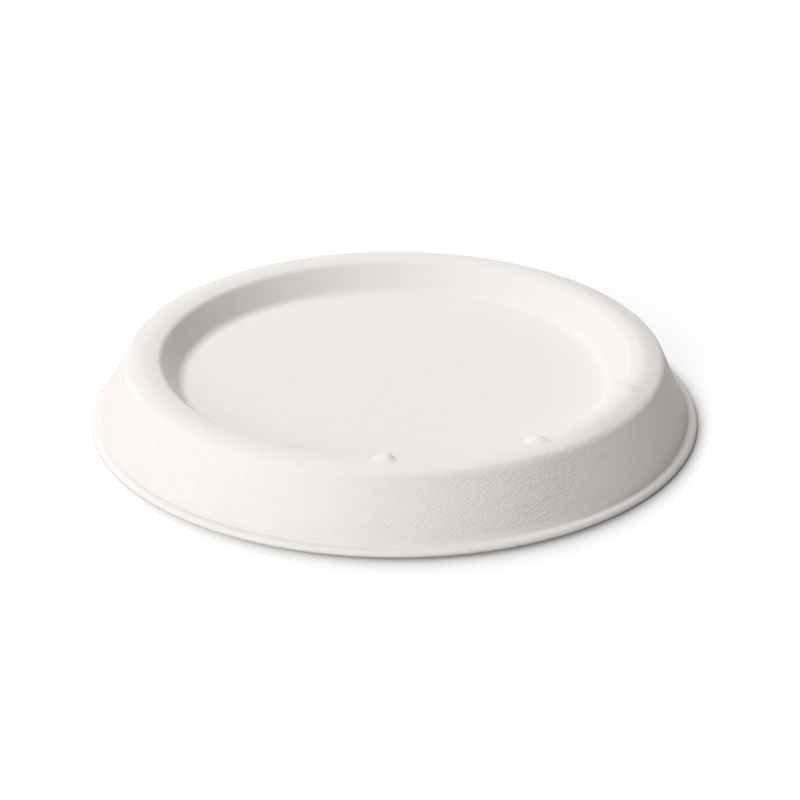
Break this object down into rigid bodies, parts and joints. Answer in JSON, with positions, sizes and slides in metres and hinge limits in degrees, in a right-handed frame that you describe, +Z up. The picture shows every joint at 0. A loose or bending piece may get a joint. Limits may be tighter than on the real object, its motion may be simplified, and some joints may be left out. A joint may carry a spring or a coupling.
{
  "type": "sugarcane lid",
  "caption": "Round moulded sugarcane-pulp lid with a recessed panel, raised crest, sloping skirt, narrow flange and small stacking nubs.",
  "frame": {"origin": "centre of the lid on the plane that its flange stands on", "axes": "+Z up through the panel, the way the crest stands; -Y towards the viewer of the picture"},
  "size_m": [0.118, 0.118, 0.0132],
  "materials": {
    "pulp": "matt pressed sugarcane pulp, warm off-white, fine fibre and mesh marks"
  },
  "bodies": {
    "root": {"lid": "pulp"}
  },
  "joints": []
}
